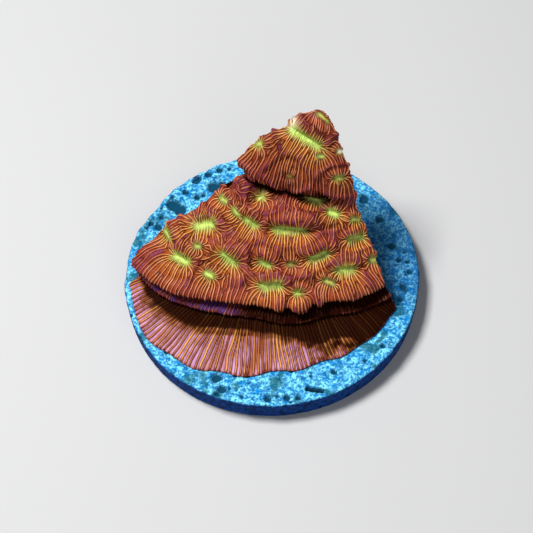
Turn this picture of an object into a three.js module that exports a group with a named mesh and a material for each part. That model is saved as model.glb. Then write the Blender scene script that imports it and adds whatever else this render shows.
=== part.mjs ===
// A living coral fragment on the round ceramic disc it was mounted and grown on.
//
// The fragment is a pie-shaped slice, sawn from a round plating colony and stood up so that its
// growing face slopes towards the front (-Y). The slice's point is at the back and on top. From
// there the colony comes down in concentric terraces: a cap with an overhanging lip, three low
// terraces, the main plate's lip, a thin ledge below it and a skirt that has spread over the disc.
// Azimuths are measured around the slice's point, counter-clockwise from +X.
//
// Units are millimetres and degrees. +Z is up, and the origin is the centre of the disc's underside.

import * as THREE from 'three';
import { mergeVertices } from 'three/addons/utils/BufferGeometryUtils.js';

// ---- The disc

const DISC_RADIUS = 16;
const DISC_THICKNESS = 3;
const DISC_DRAFT = 0.3; // the underside is this much smaller in radius, so that it leaves its mould
const DISC_EDGE_ROUND = 0.3;
const DISC_SIDES = 96;

// ---- The fragment

const TIP = new THREE.Vector2(5.7, 9.5); // the slice's point, in plan
const TIP_HEIGHT = 17.5; // above the disc's top
const SEAT_GAP = 0.02; // between the fragment's flat underside and the disc

const COLUMNS = 46; // round the growing face, from the left saw cut to the right one
const CUT_COLUMNS = 5; // across each saw cut, from the growing face to the back edge

// How far the plate's lip and the skirt's edge are from the point, at even steps from left to right.
const PLATE_REACH = [22.7, 21.2, 18.6, 16.8, 16.2, 15.1, 15.2, 14.9];
const SKIRT_REACH = [23.3, 25.3, 25.3, 24.0, 22.0, 20.4, 18.6, 16.4];

// How far the back edge, where the two saw cuts meet, leans in under the point, at even steps up.
const BACK_LEAN = [0.8, 1.4, 1.8, 1.7, 1.1, 0];
const BACK_AZIMUTH = -110; // the way it leans
const CUT_HOLLOW = 0.5; // how far each saw cut dips in at its middle

// Growth lines, from the point down to the disc. reach is a share of PLATE_REACH, and height is
// above the disc; both are given at the left cut, the middle and the right cut. cuts holds the
// azimuths at which the line meets the two saw cuts.
const GROWTH_LINES = [
  { reach: [0.02, 0.03, 0.05], height: [17.45, 17.5, 17.35], cuts: [-175, -20] },
  { reach: [0.06, 0.07, 0.10], height: [17.15, 17.25, 17.1], cuts: [-172, -34] },
  { reach: [0.11, 0.12, 0.16], height: [16.65, 16.6, 16.5], cuts: [-168, -43] },
  { reach: [0.16, 0.165, 0.22], height: [16.0, 15.85, 15.8], cuts: [-165, -51] },
  { reach: [0.21, 0.22, 0.29], height: [15.6, 15.35, 14.9], cuts: [-167, -56] },
  { reach: [0.28, 0.30, 0.36], height: [14.7, 14.4, 13.8], cuts: [-168, -58] },
  { reach: [0.35, 0.36, 0.42], height: [13.3, 13.2, 12.7], cuts: [-167, -58] },
  { reach: [0.39, 0.395, 0.465], height: [12.2, 12.2, 11.8], cuts: [-165.5, -59] },
  { reach: [0.405, 0.405, 0.485], height: [11.4, 11.3, 10.9], cuts: [-164, -60] }, // the cap's lip
  { reach: [0.385, 0.385, 0.48], height: [10.8, 10.7, 10.1], cuts: [-163, -60] },
  { reach: [0.365, 0.36, 0.49], height: [10.3, 10.1, 9.3], cuts: [-163, -61] },
  { reach: [0.385, 0.39, 0.53], height: [9.9, 9.75, 8.85], cuts: [-163, -61.5] }, // groove under it
  { reach: [0.43, 0.45, 0.56], height: [9.75, 9.7, 8.6], cuts: [-162.5, -62] },
  { reach: [0.49, 0.52, 0.585], height: [9.3, 9.4, 8.3], cuts: [-162, -62] }, // first terrace
  { reach: [0.53, 0.545, 0.6], height: [8.7, 8.8, 8.05], cuts: [-161, -62] },
  { reach: [0.56, 0.55, 0.605], height: [8.0, 8.1, 7.9], cuts: [-160.5, -62] },
  { reach: [0.60, 0.565, 0.61], height: [7.5, 7.65, 7.75], cuts: [-160, -62] }, // first valley
  { reach: [0.69, 0.63, 0.62], height: [6.95, 7.3, 7.5], cuts: [-160, -61.5] },
  { reach: [0.77, 0.69, 0.635], height: [6.5, 6.95, 7.2], cuts: [-160, -61.5] }, // second terrace
  { reach: [0.805, 0.715, 0.66], height: [6.0, 6.35, 6.75], cuts: [-159.5, -61.5] },
  { reach: [0.82, 0.725, 0.68], height: [5.6, 5.8, 6.4], cuts: [-159.5, -62] },
  { reach: [0.84, 0.75, 0.70], height: [5.2, 5.35, 6.15], cuts: [-159.5, -62] }, // second valley
  { reach: [0.88, 0.80, 0.745], height: [5.0, 5.15, 5.85], cuts: [-159, -62.5] },
  { reach: [0.925, 0.845, 0.785], height: [4.8, 4.9, 5.5], cuts: [-158, -63] }, // third terrace
  { reach: [0.945, 0.87, 0.81], height: [4.5, 4.45, 5.1], cuts: [-158, -63] },
  { reach: [0.955, 0.89, 0.83], height: [4.3, 4.1, 4.85], cuts: [-158, -63] }, // third valley
  { reach: [0.97, 0.935, 0.90], height: [4.2, 3.9, 4.4], cuts: [-157.5, -63.5] },
  { reach: [0.99, 0.975, 0.96], height: [4.0, 3.6, 3.9], cuts: [-157, -64] },
  { reach: [1.0, 1.0, 1.0], height: [3.5, 3.05, 3.3], cuts: [-156, -65] }, // the plate's lip
  { reach: [0.99, 0.985, 0.985], height: [3.1, 2.65, 2.85], cuts: [-156.5, -64.5] },
  { reach: [0.96, 0.93, 0.94], height: [2.8, 2.35, 2.5], cuts: [-157, -64] },
  { reach: [0.93, 0.89, 0.92], height: [2.45, 2.15, 2.25], cuts: [-157.5, -63] },
  { reach: [0.95, 0.93, 0.94], height: [2.2, 1.98, 2.0], cuts: [-157, -63] },
  { reach: [0.975, 1.01, 1.0], height: [2.0, 1.88, 1.8], cuts: [-156.5, -63] },
  { reach: [0.985, 1.055, 1.04], height: [1.8, 1.65, 1.55], cuts: [-156, -63.5] }, // the ledge
  { reach: [0.975, 1.03, 1.03], height: [1.55, 1.35, 1.35], cuts: [-156, -63] },
  { reach: [0.965, 0.98, 1.0], height: [1.3, 1.2, 1.2], cuts: [-156, -63] },
];

// The skirt runs from the last growth line to its own edge: [share of the way, height].
const SKIRT_LINES = [
  [0.1, 1.08],
  [0.35, 0.9],
  [0.6, 0.68],
  [0.8, 0.46],
  [0.93, 0.3],
  [1.0, 0.14],
  [0.99, 0],
];
const SKIRT_CUTS = [-155.5, -62.5];
const SKIRT_SCALLOP = 0.25; // the edge's lobes stand out by this much
const SKIRT_LOBES = 7;

// ---- Shape helpers

/** The value at share u, from 0 to 1, of a smooth line through evenly spaced values. */
function smooth(values, u) {
  const points = values.map((value, i) => new THREE.Vector2(i, value));
  return new THREE.SplineCurve(points).getPoint(u).y;
}

/** A point of the fragment at an azimuth, a reach from the slice's point and a height. */
function fragmentPoint(azimuth, reach, height) {
  const angle = THREE.MathUtils.degToRad(azimuth);
  return new THREE.Vector3(
    TIP.x + reach * Math.cos(angle),
    TIP.y + reach * Math.sin(angle),
    DISC_THICKNESS + SEAT_GAP + height,
  );
}

/** Points across one saw cut, between the growing face and the back edge, hollowed a little. */
function cutPoints(facePoint, backPoint) {
  const inward = fragmentPoint(BACK_AZIMUTH, 1, 0).sub(fragmentPoint(BACK_AZIMUTH, 0, 0));
  const width = facePoint.distanceTo(backPoint);
  const points = [];
  for (let i = 1; i < CUT_COLUMNS; i += 1) {
    const share = i / CUT_COLUMNS;
    const hollow = Math.sin(Math.PI * share) * Math.min(CUT_HOLLOW, width * 0.05);
    points.push(facePoint.clone().lerp(backPoint, share).addScaledVector(inward, hollow));
  }
  return points;
}

/** One closed ring round the fragment: the growing face, the right cut, the back edge, the left cut. */
function growthRing(pointAt) {
  const face = [];
  for (let i = 0; i <= COLUMNS; i += 1) face.push(pointAt(i / COLUMNS));
  const left = face[0];
  const right = face[COLUMNS];
  const backZ = (left.z + right.z) / 2;
  const height = backZ - DISC_THICKNESS - SEAT_GAP;
  const back = fragmentPoint(BACK_AZIMUTH, smooth(BACK_LEAN, height / TIP_HEIGHT), height);
  return [...face, ...cutPoints(right, back), back, ...cutPoints(left, back).reverse()];
}

/** The ring of one entry of GROWTH_LINES. */
function terraceRing({ reach, height, cuts }) {
  return growthRing((u) =>
    fragmentPoint(
      THREE.MathUtils.lerp(cuts[0], cuts[1], u),
      smooth(reach, u) * smooth(PLATE_REACH, u),
      smooth(height, u),
    ),
  );
}

/** The ring of one entry of SKIRT_LINES. */
function skirtRing([share, height]) {
  const inner = GROWTH_LINES[GROWTH_LINES.length - 1].reach;
  return growthRing((u) => {
    const scallop = SKIRT_SCALLOP * share * Math.sin(2 * Math.PI * SKIRT_LOBES * u);
    const from = smooth(inner, u) * smooth(PLATE_REACH, u);
    const to = smooth(SKIRT_REACH, u) + scallop * Math.sin(Math.PI * u);
    return fragmentPoint(
      THREE.MathUtils.lerp(SKIRT_CUTS[0], SKIRT_CUTS[1], u),
      THREE.MathUtils.lerp(from, to, share),
      height,
    );
  });
}

/** A closed skin over rings that run down from a single top point to a flat bottom ring. */
function loftRings(top, rings) {
  const count = rings[0].length;
  const positions = [top, ...rings.flat()].flatMap((p) => p.toArray());
  const at = (ring, i) => 1 + ring * count + (i % count);
  const triangles = [];
  for (let i = 0; i < count; i += 1) {
    triangles.push(0, at(0, i), at(0, i + 1));
    for (let ring = 0; ring + 1 < rings.length; ring += 1) {
      const [a, b] = [at(ring, i), at(ring, i + 1)];
      const [c, d] = [at(ring + 1, i), at(ring + 1, i + 1)];
      triangles.push(a, c, d, a, d, b);
    }
  }
  const last = rings.length - 1;
  const outline = rings[last].map((p) => new THREE.Vector2(p.x, p.y));
  for (const [a, b, c] of THREE.ShapeUtils.triangulateShape(outline, [])) {
    triangles.push(at(last, a), at(last, c), at(last, b));
  }
  const geometry = new THREE.BufferGeometry();
  geometry.setAttribute('position', new THREE.Float32BufferAttribute(positions, 3));
  geometry.setIndex(triangles);
  return geometry;
}

// ---- The pieces

/** The coral: one living colony, from the point of the slice to the skirt on the disc. */
function makeCoral() {
  const rings = [...GROWTH_LINES.map(terraceRing), ...SKIRT_LINES.map(skirtRing)];
  const geometry = loftRings(fragmentPoint(0, 0, TIP_HEIGHT), rings);
  geometry.computeVertexNormals();
  const material = new THREE.MeshStandardMaterial({ color: 0x9a4a34, roughness: 0.45, metalness: 0 });
  const coral = new THREE.Mesh(geometry, material);
  coral.name = 'coral_colony';
  return coral;
}

/** The disc: turned about its axis, with a drafted wall and softened edges. */
function makeDisc() {
  const foot = DISC_RADIUS - DISC_DRAFT;
  const round = DISC_EDGE_ROUND;
  const profile = [
    new THREE.Vector2(0, 0),
    new THREE.Vector2(foot - round, 0),
    new THREE.Vector2(foot - round * 0.3, round * 0.3),
    new THREE.Vector2(foot, round),
    new THREE.Vector2(DISC_RADIUS, DISC_THICKNESS - round),
    new THREE.Vector2(DISC_RADIUS - round * 0.3, DISC_THICKNESS - round * 0.3),
    new THREE.Vector2(DISC_RADIUS - round, DISC_THICKNESS),
    new THREE.Vector2(0, DISC_THICKNESS),
  ];
  const turned = new THREE.LatheGeometry(profile, DISC_SIDES);
  turned.deleteAttribute('normal');
  turned.deleteAttribute('uv');
  turned.rotateX(Math.PI / 2);
  const geometry = mergeVertices(turned);
  geometry.computeVertexNormals();
  const material = new THREE.MeshStandardMaterial({ color: 0x3f9fe0, roughness: 0.9, metalness: 0 });
  const disc = new THREE.Mesh(geometry, material);
  disc.name = 'frag_disc';
  return disc;
}

const fragment = new THREE.Group();
fragment.add(makeDisc(), makeCoral());

export default fragment;
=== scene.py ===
"""A coral fragment on its round ceramic disc: living tissue, raised ribs and a porous cast disc.

The coral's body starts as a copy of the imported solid. It is remeshed finely, softened, and given
its polyp pits, ridges and saw marks. Ribs are then traced over it: they spread from every polyp's
mouth, run square across the ridges and start anew wherever there is room for one more. Geometry
Nodes sweep the traced lines into solid ribs, and sink the pores of the disc.

Shapes are worked out in millimetres and turned to metres when a mesh is written.
"""

import math
import random

import bpy
import bmesh
import numpy as np
from mathutils import Matrix, Vector, noise
from mathutils.bvhtree import BVHTree
from mathutils.kdtree import KDTree


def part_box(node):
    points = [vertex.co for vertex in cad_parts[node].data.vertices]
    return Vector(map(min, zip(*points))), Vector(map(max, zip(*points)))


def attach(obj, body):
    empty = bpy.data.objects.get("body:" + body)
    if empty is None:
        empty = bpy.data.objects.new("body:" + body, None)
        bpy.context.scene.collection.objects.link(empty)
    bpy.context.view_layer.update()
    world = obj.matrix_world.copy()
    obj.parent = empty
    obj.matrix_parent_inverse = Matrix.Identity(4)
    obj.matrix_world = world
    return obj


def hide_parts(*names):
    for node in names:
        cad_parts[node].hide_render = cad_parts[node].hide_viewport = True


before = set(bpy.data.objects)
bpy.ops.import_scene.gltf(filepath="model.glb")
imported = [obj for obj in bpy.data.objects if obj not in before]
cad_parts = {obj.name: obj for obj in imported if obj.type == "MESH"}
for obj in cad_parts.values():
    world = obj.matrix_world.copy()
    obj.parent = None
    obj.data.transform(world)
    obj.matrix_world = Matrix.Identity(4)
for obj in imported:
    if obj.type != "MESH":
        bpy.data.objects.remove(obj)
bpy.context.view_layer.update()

MM = 0.001  # one millimetre in metres

# ---- Sizes and places, in millimetres and degrees

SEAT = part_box("coral_colony")[0].z / MM  # the coral's flat underside
DISC_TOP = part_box("frag_disc")[1].z / MM
DISC_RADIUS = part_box("frag_disc")[1].x / MM

# The living face, seen from above the slice's point, lies between two saw cuts.
LEFT_CUT = -159
RIGHT_CUT = -61.5
CUT_BAND = 1.0  # how far the tissue has crept over each saw cut
SKIRT_HEIGHT = 1.25  # above the disc: what is lower is skirt
CAP_HEIGHT = 6.8  # what is higher is upper terraces and cap

# The ribs run square to the growing edge, so they swing away from straight out of the point by
# these angles, at even steps from the left cut to the right one.
PLATE_SWING = [8, 12, 14, 9, 6, 4, 1]
SKIRT_SWING = [-22, -9, 5, 16, 19, 20, 24, 28]

CORAL_VOXEL = 0.125
RELAX_ROUNDS = 7
PIT_DEPTH = 0.17  # of a polyp of size 1
LIP_RISE = 0.44  # of the steep lip behind a polyp of size 1
SADDLE_RISE = 0.32  # of the ridge between two polyps
FOLD_DEPTH = 0.16
CUT_DEPTH = 0.1  # how far the bared skeleton lies below the tissue
BODY_SHARE = 0.78  # of the body's triangles that are kept once its plain parts are thinned out

# Polyps: azimuth and reach from the slice's point, height above the disc, length of the mouth, its
# turn up from level, seen square to the face, the size of the polyp and how strong its green is.
POLYPS = [
    (-157, 9.6, 9.9, 0.7, -25, 0.7, 0.0),
    (-156, 10.9, 8.3, 0.6, -38, 0.55, 0.8),
    (-141, 8.1, 9.6, 0.3, 0, 0.65, 0.9),
    (-152, 14.2, 7.5, 1.4, -4, 1.2, 0.95),
    (-146.5, 10.6, 8.3, 0.5, -40, 0.65, 0.9),
    (-137.5, 10.1, 7.8, 1.1, -32, 0.95, 1.0),
    (-113, 8.7, 7.7, 2.4, 0, 1.15, 1.0),
    (-80.5, 7.2, 8.6, 0.6, -25, 0.8, 1.0),
    (-65, 8.4, 8.2, 0.7, -15, 0.45, 0.7),
    (-68.5, 9.5, 6.6, 1.2, 0, 0.75, 0.95),
    (-157.5, 17.8, 5.9, 0.7, -55, 0.75, 0.8),
    (-147, 15.6, 6.0, 0.3, 0, 0.5, 0.6),
    (-148, 17.8, 5.1, 1.3, -34, 1.0, 0.95),
    (-136, 13.8, 5.5, 1.2, -32, 1.15, 1.0),
    (-137, 16.6, 4.3, 0.6, -35, 0.65, 0.9),
    (-120, 12.4, 5.5, 0.7, -30, 0.8, 0.9),
    (-107.5, 11.4, 5.4, 0.3, 0, 0.5, 0.5),
    (-92.5, 10.3, 5.8, 1.4, 18, 0.95, 1.0),
    (-79, 11.7, 4.7, 1.1, 0, 1.0, 0.95),
    (-63.5, 12.0, 5.0, 0.7, 0, 0.6, 0.6),
    (-114, 13.9, 4.2, 1.6, 0, 0.95, 0.95),
    (-102, 14.1, 4.1, 0.3, 0, 0.65, 0.8),
    (-88, 12.8, 4.4, 0.8, -28, 0.5, 0.6),
    (-123, 2.7, 16.2, 3.2, -35, 1.05, 1.0),
    (-166, 6.4, 14.4, 0.4, 0, 0.6, 0.9),
    (-87, 3.8, 14.8, 0.3, 0, 0.28, 0.8),
    (-70, 5.7, 12.9, 0.5, -6, 0.5, 0.7),
    (-123, 5.9, 13.0, 0.2, 0, 0.2, 0.3),
    (-57, 4.1, 14.9, 0.4, 0, 0.25, 0.5),
    (-42, 0.9, 17.2, 1.2, -42, 0.12, 0.6),
    (-96, 5.9, 9.8, 1.0, -20, 0.7, 0.75),
]

# Lobes that bulge out of the groove under the cap, at its left end, and out of the plate's lip:
# place, size and rise.
LOBES = [((-2.4, 5.2, 12.8), 1.25, 0.85), ((2.9, -6.0, 6.3), 1.0, 0.55)]
# Spots where the tissue is nearly white: place and size.
PALE_SPOTS = [((3.0, 8.5, 19.6), 0.6), ((7.8, 5.7, 17.9), 0.25)]

SKIRT_FOLD = -111.5  # azimuth of a crease up the skirt from a notch in its margin

# Ribs
RIB_SPACING = 0.4
RIB_SPACING_AT_MOUTH = 0.15
RIB_STEP = 0.11
RIB_SIDES = 7
MOUTH_GAP = 0.16  # ribs stop this far from a mouth
SEED_GAP = 0.42  # and are begun this far from it
RIBS_PER_MOUTH = 14
RIBS_PER_MM = 7  # more for each millimetre of mouth
FURROW_DEPTH = 0.06  # of the groove beside a rib
PLATE_RIB = 0.092  # radius
SKIRT_RIB = 0.1
RIB_FOOT = 0.09  # ribs stop this far above the disc
SKIRT_MIDDLE = [21.5, 23.0, 22.5, 21.0, 19.5, 18.2, 16.8, 15.6]  # reach, from left cut to right
SKIRT_SEEDS = 160
EXTRA_SEEDS = 2500  # tried at random places, for what the other lines have left bare

# The disc
DISC_VOXEL = 0.155
SLOT_PLACE = (3.85, -14.15)
SLOT_LENGTH = 1.9
SLOT_WIDTH = 0.5
SLOT_TURN = -14
SLOT_DEPTH = 0.9
PIT_SINK = 0.5  # depth of a big pit
CHIP_DEPTH = 0.42
# Big pits in the disc's top: x, y and radius.
PITS = [
    (-10.3, 9.9, 0.85), (-9.6, 9.2, 0.75), (-5.8, 12.0, 0.8), (-4.9, 12.3, 0.5), (-7.7, 13.3, 0.65),
    (-6.4, 13.7, 0.5), (-5.1, 14.2, 0.45), (-8.9, 11.5, 0.4), (-7.7, 10.8, 0.35), (-7.0, 11.0, 0.3),
    (-11.7, 8.4, 0.35), (-12.1, 7.2, 0.55), (-12.9, 7.7, 0.4), (-13.4, 7.2, 0.35), (-11.8, 9.8, 0.3),
    (-6.4, -12.1, 0.65), (-5.9, -13.5, 0.5), (-6.4, -14.1, 0.35), (-3.1, -11.9, 0.4), (-1.1, -15.0, 0.42),
    (0.9, -14.9, 0.4), (2.1, -15.0, 0.4), (6.0, -12.1, 0.35), (14.1, -2.1, 0.45), (14.9, -0.3, 0.35),
    (13.6, -3.7, 0.35), (13.2, 3.1, 0.5), (13.9, 1.3, 0.35), (14.8, 1.0, 0.3), (11.4, -9.3, 0.35),
    (12.2, 6.6, 0.5), (10.6, 9.3, 0.6), (8.0, 12.6, 0.5), (3.4, 13.6, 0.55), (-1.2, 13.2, 0.45),
]
# Random pores: spacing, smallest and largest radius, depth, darkness of the painted shade inside and seed.
PORES = {"large_pores": (1.6, 0.1, 0.46, 0.2, 1.0, 3), "small_pores": (0.7, 0.06, 0.25, 0.1, 0.55, 8)}

# ---- Camera: stands off the front, looks down on the face and leans a little

CAMERA_DISTANCE = 280
CAMERA_ELEVATION = 58.47
CAMERA_ROLL = -3.06
CAMERA_TARGET = (-0.5, 1.24, 3.0)
CAMERA_LENS = 174.8
SENSOR = 36

# ---- Light: soft boxes with place, size, power in watts and colour, and a faint even sky

LIGHTS = {
    "key_box": ((-115, 25, 285), 90, 1.35, "#ffffff"),
    "front_box": ((60, -260, 200), 220, 0.25, "#f6f8ff"),
}
LIGHT_AIM = (0, 0, 6)
SKY_COLOR = "#f2f4f8"
SKY_STRENGTH = 0.14
FLOOR_REACH = 1500
FLOOR_COLOR = "#bcbcbc"


# ---- Small helpers

def linear(hex_value):
    """An sRGB hex colour as a linear RGBA tuple."""
    channels = [int(hex_value[i:i + 2], 16) / 255 for i in (1, 3, 5)]
    return (*[c / 12.92 if c <= 0.04045 else ((c + 0.055) / 1.055) ** 2.4 for c in channels], 1)


def add(tree, kind, inputs=(), **settings):
    """Adds a node with its settings, and links or sets its inputs."""
    made = tree.nodes.new(kind)
    for name, value in settings.items():
        setattr(made, name, value)
    for key, value in dict(inputs).items():
        if isinstance(value, bpy.types.NodeSocket):
            tree.links.new(value, made.inputs[key])
        else:
            made.inputs[key].default_value = value
    return made


def smoothstep(low, high, value):
    t = np.clip((value - low) / (high - low), 0, 1)
    return t * t * (3 - 2 * t)


def along(values, share):
    """The value at a share, from 0 to 1, of evenly spaced values."""
    return np.interp(share, np.linspace(0, 1, len(values)), values)


def noise_at(points, size, shift=0.0):
    """Smooth noise, about -1 to 1, whose lumps are size millimetres apart."""
    move = Vector((shift, shift * 0.7, shift * 1.3))
    return np.array([noise.noise(Vector(p) / size + move) for p in points])


def positions(mesh):
    """The vertices' places, in millimetres."""
    places = np.empty(len(mesh.vertices) * 3, np.float32)
    mesh.vertices.foreach_get("co", places)
    return places.reshape(-1, 3).astype(float) / MM


def set_positions(mesh, places):
    mesh.vertices.foreach_set("co", (places * MM).astype(np.float32).ravel())
    mesh.update()


def normals(mesh):
    directions = np.empty(len(mesh.vertices) * 3, np.float32)
    mesh.vertex_normals.foreach_get("vector", directions)
    return directions.reshape(-1, 3).astype(float)


def set_attribute(mesh, name, values):
    attribute = mesh.attributes.get(name) or mesh.attributes.new(name, "FLOAT", "POINT")
    attribute.data.foreach_set("value", np.asarray(values, np.float32))


def get_attribute(mesh, name):
    values = np.empty(len(mesh.vertices), np.float32)
    mesh.attributes[name].data.foreach_get("value", values)
    return values.astype(float)


def relaxed(mesh, places, rounds, share=0.6):
    """Places moved towards the mean of their neighbours, a number of times."""
    ends = np.empty(len(mesh.edges) * 2, np.int32)
    mesh.edges.foreach_get("vertices", ends)
    ends = ends.reshape(-1, 2)
    start = np.concatenate([ends[:, 0], ends[:, 1]])
    stop = np.concatenate([ends[:, 1], ends[:, 0]])
    count = np.maximum(np.bincount(start, minlength=len(places)), 1)
    places = places.copy()
    for _ in range(rounds):
        for axis in range(places.shape[1]):
            total = np.bincount(start, weights=places[stop, axis], minlength=len(places))
            places[:, axis] += share * (total / count - places[:, axis])
    return places


def evened(mesh, values, rounds):
    """Values at the vertices, evened out with their neighbours' a number of times."""
    return relaxed(mesh, values[:, None], rounds)[:, 0]


def gaps(starts, targets):
    """How far each start is from the nearest target."""
    tree = KDTree(len(targets))
    for i, target in enumerate(targets):
        tree.insert(Vector(target), i)
    tree.balance()
    return np.array([tree.find(Vector(start))[2] for start in starts])


def bake_modifiers(piece):
    """The piece's modifiers become its mesh."""
    graph = bpy.context.evaluated_depsgraph_get()
    mesh = bpy.data.meshes.new_from_object(piece.evaluated_get(graph))
    piece.modifiers.clear()
    piece.data = mesh
    mesh.name = piece.name
    return mesh


def new_piece(name, mesh):
    piece = bpy.data.objects.new(name, mesh)
    bpy.context.scene.collection.objects.link(piece)
    return piece


def fine_copy(node_name, name, voxel):
    """A merged copy of a CAD node, remeshed in even squares."""
    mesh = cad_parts[node_name].data.copy()
    shell = bmesh.new()
    shell.from_mesh(mesh)
    bmesh.ops.remove_doubles(shell, verts=shell.verts, dist=1e-7)
    shell.to_mesh(mesh)
    shell.free()
    mesh.materials.clear()
    piece = new_piece(name, mesh)
    remesh = piece.modifiers.new("fine", "REMESH")
    remesh.mode = "VOXEL"
    remesh.voxel_size = voxel * MM
    bake_modifiers(piece)
    return piece


def thin_out(piece, ratio):
    """Merges triangles where a piece is marked plain, down to a share of all of them."""
    plain = np.flatnonzero(get_attribute(piece.data, "plain") > 0.5)
    group = piece.vertex_groups.new(name="plain_part")
    group.add(plain.tolist(), 1.0, "REPLACE")
    fewer = piece.modifiers.new("fewer", "DECIMATE")
    fewer.ratio = ratio
    fewer.vertex_group = group.name
    bake_modifiers(piece)
    piece.vertex_groups.clear()


def finish_piece(piece, node_name):
    piece.data.polygons.foreach_set("use_smooth", [True] * len(piece.data.polygons))
    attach(piece, "root")
    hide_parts(node_name)


# ---- Geometry Nodes

def geometry_tree(name, inputs):
    """A tree with geometry in and out, a material and the inputs given; and its input sockets."""
    tree = bpy.data.node_groups.new(name, "GeometryNodeTree")
    for label, kind in {"Geometry": "Geometry", **inputs, "Material": "Material"}.items():
        tree.interface.new_socket(label, in_out="INPUT", socket_type="NodeSocket" + kind)
    tree.interface.new_socket("Geometry", in_out="OUTPUT", socket_type="NodeSocketGeometry")
    tree.is_modifier = True
    return tree, add(tree, "NodeGroupInput").outputs


def deliver(tree, geometry, finish):
    """Ends a tree: its geometry is made real and given its material."""
    solid = add(tree, "GeometryNodeRealizeInstances", {"Geometry": geometry})
    painted = add(tree, "GeometryNodeSetMaterial", {"Geometry": solid.outputs[0], "Material": finish})
    add(tree, "NodeGroupOutput", {"Geometry": painted.outputs[0]})


def run_tree(piece, name, tree, inputs):
    """Adds a tree to a piece. Each input is found by its name and set by its identifier."""
    modifier = piece.modifiers.new(name, "NODES")
    modifier.node_group = tree
    for item in tree.interface.items_tree:
        if item.item_type == "SOCKET" and item.in_out == "INPUT" and item.name in inputs:
            modifier[item.identifier] = inputs[item.name]


# ---- Materials

def material(name, stored=""):
    """An empty material, its tree, and a socket for each thing that the mesh stores under a name."""
    made = bpy.data.materials.new(name)
    made.use_nodes = True
    tree = made.node_tree
    tree.nodes.clear()
    marks = {}
    for key in stored.split():
        marks[key] = add(tree, "ShaderNodeAttribute", attribute_name=key).outputs["Fac"]
    return made, tree, marks


def layered(tree, color, coats):
    """Lays coats over a colour, each with its share, and gives the socket of what shows."""
    for share, over in coats:
        ends = [linear(end) if isinstance(end, str) else end for end in (color, over)]
        blend = add(tree, "ShaderNodeMix", {0: share, 6: ends[0], 7: ends[1]}, data_type="RGBA")
        color = blend.outputs[2]
    return color


def living_tissue():
    """Coral tissue stretched wet over its skeleton.

    It reads as glossy brick-red flesh that turns violet on the crests and olive to yellow-green
    round each mouth, lilac on the young skirt, and stops where the saw has bared the skeleton,
    which is a chalky, finely layered cream.
    """
    stored = "glow warm crest skirt gold bare between shade pale pocked ledge"
    made, tree, marks = material("living_tissue", stored)
    place = add(tree, "ShaderNodeTexCoord").outputs["Object"]
    # Grains of tissue, drawn 0.12 mm across, coarser than they are, and cloudy patches of 1.5 mm.
    grain = add(tree, "ShaderNodeTexNoise", {"Vector": place, "Scale": 1 / (0.12 * MM), "Detail": 2})
    speck = add(tree, "ShaderNodeMapRange", {0: grain.outputs[0], 1: 0.55, 2: 0.75, 3: 0.0, 4: 0.3})
    cloud = add(tree, "ShaderNodeTexNoise", {"Vector": place, "Scale": 1 / (1.5 * MM), "Detail": 3})
    cloudy = add(tree, "ShaderNodeMapRange", {0: cloud.outputs[0], 1: 0.35, 2: 0.65}).outputs[0]
    young = layered(tree, "#a9749f", [(cloudy, "#d8a3cf"), (marks["gold"], "#ac5c2a")])
    flesh = layered(tree, "#7c2a16", [
        (cloudy, "#963f22"), (marks["warm"], "#b5601f"), (marks["crest"], "#6c2a54"),
        (marks["skirt"], young),
    ])
    # Painted shade beside the ribs: flesh next to each rib is drawn dark maroon.
    flesh = layered(tree, "#561407", [
        (marks["between"], flesh), (speck.outputs[0], "#c98372"), (marks["ledge"], "#4a2c7c"),
        (marks["shade"], "#120403"), (marks["glow"], "#bddc6c"), (marks["pale"], "#eee4c8"),
    ])
    # Growth layers in the bared skeleton, drawn about 0.7 mm apart, coarser than they are.
    layers = add(tree, "ShaderNodeTexWave", {
        "Vector": place, "Scale": 1 / (2.2 * MM), "Distortion": 6.0, "Detail": 3.0, "Detail Scale": 1.5,
    }, bands_direction="Z")
    bone = layered(tree, "#cbbcc8", [(layers.outputs[1], "#e9e1d3"), (marks["pocked"], "#b3a5b4")])
    rough = add(tree, "ShaderNodeMapRange", {0: marks["bare"], 3: 0.42, 4: 0.85})
    bump = add(tree, "ShaderNodeBump", {
        "Height": grain.outputs[0], "Strength": 0.35, "Distance": 0.05 * MM,
    })
    # The mark shade is painted shade and shadow: it draws the flesh near black and takes its gloss away.
    gloss = add(tree, "ShaderNodeMapRange", {0: marks["shade"], 3: 0.12, 4: 0.0})
    shader = add(tree, "ShaderNodeBsdfPrincipled", {
        "Base Color": layered(tree, flesh, [(marks["bare"], bone)]), "Roughness": rough.outputs[0],
        "Normal": bump.outputs[0], "IOR": 1.38, "Specular IOR Level": gloss.outputs[0],
        "Subsurface Weight": 0.08, "Subsurface Scale": 0.3 * MM, "Subsurface Radius": (1.0, 0.4, 0.3),
    })
    add(tree, "ShaderNodeOutputMaterial", {"Surface": shader.outputs[0]})
    return made


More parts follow.
